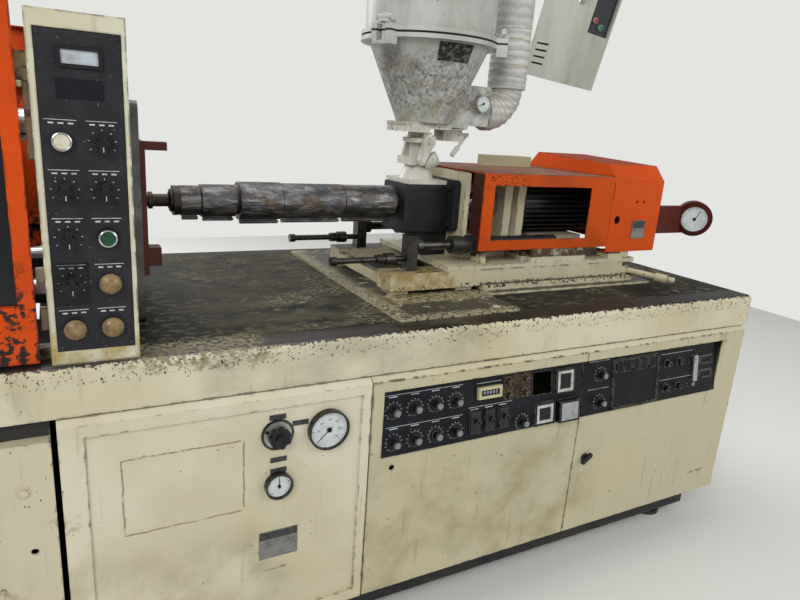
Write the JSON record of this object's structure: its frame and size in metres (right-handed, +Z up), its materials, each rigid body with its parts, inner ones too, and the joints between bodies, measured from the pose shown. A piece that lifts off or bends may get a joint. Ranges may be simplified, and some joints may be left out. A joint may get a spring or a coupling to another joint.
{
  "type": "injection moulding machine",
  "caption": "Horizontal screw injection moulding machine with sliding safety doors, a control column, open injection unit and a hot-air hopper dryer.",
  "frame": {"origin": "on the floor, at the middle of the machine's box", "axes": "+X from the clamp end to the injection end, +Y away from the operator, +Z up"},
  "size_m": [4.301, 1.1105, 2.2],
  "materials": {
    "cream_paint": "aged semi-gloss, chipped and stained",
    "dark_steel": "matt",
    "black_panel": "satin",
    "orange_paint": "aged semi-gloss, chipped",
    "red_paint": "worn and dirty",
    "machined_steel": "machined, oily",
    "hard_chrome": "polished",
    "gauge_metal": "polished",
    "control_gear": "matt",
    "oily_iron": "dark, oily",
    "heat_stained_steel": "heat stained, dull",
    "hopper_paint": "aged, dusty",
    "wrap_tape": "wrapped tape",
    "window_pane": "tinted",
    "black_plastic": "semi-gloss",
    "white_plastic": "gloss",
    "green_plastic": "gloss",
    "amber_plastic": "worn"
  },
  "bodies": {
    "machine": {"plinth": "dark_steel", "bed": "cream_paint", "clamp_base": "dark_steel", "clamp_base_panels": "cream_paint", "hydraulic_cabinet": "cream_paint", "hydraulic_unit": "dark_steel", "control_cabinet": "cream_paint", "control_gear": "control_gear", "fixed_platen": "machined_steel", "end_platen": "machined_steel", "tie_bars": "hard_chrome", "clamp_cylinder": "machined_steel", "clamp_guard": "orange_paint", "door_rails": "machined_steel", "control_column": "cream_paint", "nozzle_guard": "red_paint", "injection_base": "cream_paint", "carriage_rods": "machined_steel", "pressure_gauges": "gauge_metal"},
    "clamp": {"moving_platen": "machined_steel", "clamp_ram": "hard_chrome"},
    "ejector": {"ejector": "machined_steel"},
    "front_safety_door": {"front_door": "orange_paint", "front_window": "window_pane"},
    "rear_safety_door": {"rear_door": "orange_paint"},
    "carriage": {"carriage": "cream_paint", "feed_block": "oily_iron", "barrel": "heat_stained_steel", "nozzle": "oily_iron", "heater_bands": "heat_stained_steel", "carriage_cylinders": "oily_iron", "injection_housing": "cream_paint", "drive_motor": "oily_iron", "side_cover": "orange_paint", "rear_hood": "orange_paint", "gauge_arm": "red_paint", "hopper_base": "hopper_paint", "hopper": "hopper_paint", "hot_air_pipe": "wrap_tape", "blower": "hopper_paint", "switch_box": "hopper_paint"},
    "injection_ram": {"injection_ram": "hard_chrome"},
    "screw": {"screw": "machined_steel"},
    "hopper_lid": {"hopper_lid": "hopper_paint"},
    "switch_box_door": {"switch_box_door": "hopper_paint"},
    "left_control_door": {"left_control_door": "cream_paint", "left_instruments": "black_panel"},
    "right_control_door": {"right_control_door": "cream_paint", "right_instruments": "black_panel"},
    "handwheel": {"handwheel": "black_plastic"},
    "white_button": {"white_button": "white_plastic"},
    "green_button": {"green_button": "green_plastic"},
    "selector_1": {"selector_1": "black_plastic"},
    "selector_2": {"selector_2": "black_plastic"},
    "selector_3": {"selector_3": "black_plastic"},
    "selector_4": {"selector_4": "black_plastic"},
    "selector_5": {"selector_5": "black_plastic"},
    "mushroom_1": {"mushroom_1": "amber_plastic"},
    "mushroom_2": {"mushroom_2": "amber_plastic"},
    "mushroom_3": {"mushroom_3": "amber_plastic"}
  },
  "joints": [
    {"name": "clamp_slide", "type": "slide", "parent": "machine", "child": "clamp", "axis": [1, 0, 0], "range_m": [0, 0.3]},
    {"name": "ejector_slide", "type": "slide", "parent": "clamp", "child": "ejector", "axis": [1, 0, 0], "range_m": [0, 0.06]},
    {"name": "front_door_slide", "type": "slide", "parent": "machine", "child": "front_safety_door", "axis": [1, 0, 0], "range_m": [-0.62, 0]},
    {"name": "rear_door_slide", "type": "slide", "parent": "machine", "child": "rear_safety_door", "axis": [1, 0, 0], "range_m": [-0.62, 0]},
    {"name": "carriage_slide", "type": "slide", "parent": "machine", "child": "carriage", "axis": [1, 0, 0], "range_m": [0, 0.25]},
    {"name": "ram_slide", "type": "slide", "parent": "carriage", "child": "injection_ram", "axis": [1, 0, 0], "range_m": [0, 0.1]},
    {"name": "screw_spin", "type": "hinge", "parent": "injection_ram", "child": "screw", "pos_m": [0.9, 0, 1.157], "axis": [1, 0, 0], "continuous": true},
    {"name": "hopper_lid_hinge", "type": "hinge", "parent": "carriage", "child": "hopper_lid", "pos_m": [0.973, 0.215, 2.072], "axis": [-1, 0, 0], "range_deg": [0, 75]},
    {"name": "switch_box_hinge", "type": "hinge", "parent": "carriage", "child": "switch_box_door", "pos_m": [1.45791, 0.08173, 1.79441], "axis": [-0.1019, 0.1771, -0.9789], "range_deg": [0, 32]},
    {"name": "left_door_hinge", "type": "hinge", "parent": "machine", "child": "left_control_door", "pos_m": [1.30025, -0.532, 0.463], "axis": [0, 0, 1], "range_deg": [0, 100]},
    {"name": "right_door_hinge", "type": "hinge", "parent": "machine", "child": "right_control_door", "pos_m": [2.053, -0.532, 0.463], "axis": [0, 0, 1], "range_deg": [0, 100]},
    {"name": "selector_1_turn", "type": "hinge", "parent": "machine", "child": "selector_1", "pos_m": [0.0015, -0.502, 1.328], "axis": [0, 1, 0], "range_deg": [-45, 45]},
    {"name": "selector_2_turn", "type": "hinge", "parent": "machine", "child": "selector_2", "pos_m": [-0.0655, -0.502, 1.239], "axis": [0, 1, 0], "range_deg": [-45, 45]},
    {"name": "selector_3_turn", "type": "hinge", "parent": "machine", "child": "selector_3", "pos_m": [0.0015, -0.502, 1.239], "axis": [0, 1, 0], "range_deg": [-45, 45]},
    {"name": "selector_4_turn", "type": "hinge", "parent": "machine", "child": "selector_4", "pos_m": [-0.0655, -0.502, 1.15], "axis": [0, 1, 0], "range_deg": [-45, 45]},
    {"name": "selector_5_turn", "type": "hinge", "parent": "machine", "child": "selector_5", "pos_m": [-0.0655, -0.502, 1.061], "axis": [0, 1, 0], "range_deg": [-45, 45]},
    {"name": "white_button_press", "type": "slide", "parent": "machine", "child": "white_button", "axis": [0, 1, 0], "range_m": [0, 0.005], "stiffness_N_per_m": 300},
    {"name": "green_button_press", "type": "slide", "parent": "machine", "child": "green_button", "axis": [0, 1, 0], "range_m": [0, 0.005], "stiffness_N_per_m": 300},
    {"name": "mushroom_1_press", "type": "slide", "parent": "machine", "child": "mushroom_1", "axis": [0, 1, 0], "range_m": [0, 0.005], "stiffness_N_per_m": 400},
    {"name": "mushroom_2_press", "type": "slide", "parent": "machine", "child": "mushroom_2", "axis": [0, 1, 0], "range_m": [0, 0.005], "stiffness_N_per_m": 400},
    {"name": "mushroom_3_press", "type": "slide", "parent": "machine", "child": "mushroom_3", "axis": [0, 1, 0], "range_m": [0, 0.005], "stiffness_N_per_m": 400},
    {"name": "handwheel_turn", "type": "hinge", "parent": "machine", "child": "handwheel", "pos_m": [0.338, -0.526, 0.681], "axis": [0, 1, 0], "range_deg": [-360, 360]}
  ]
}
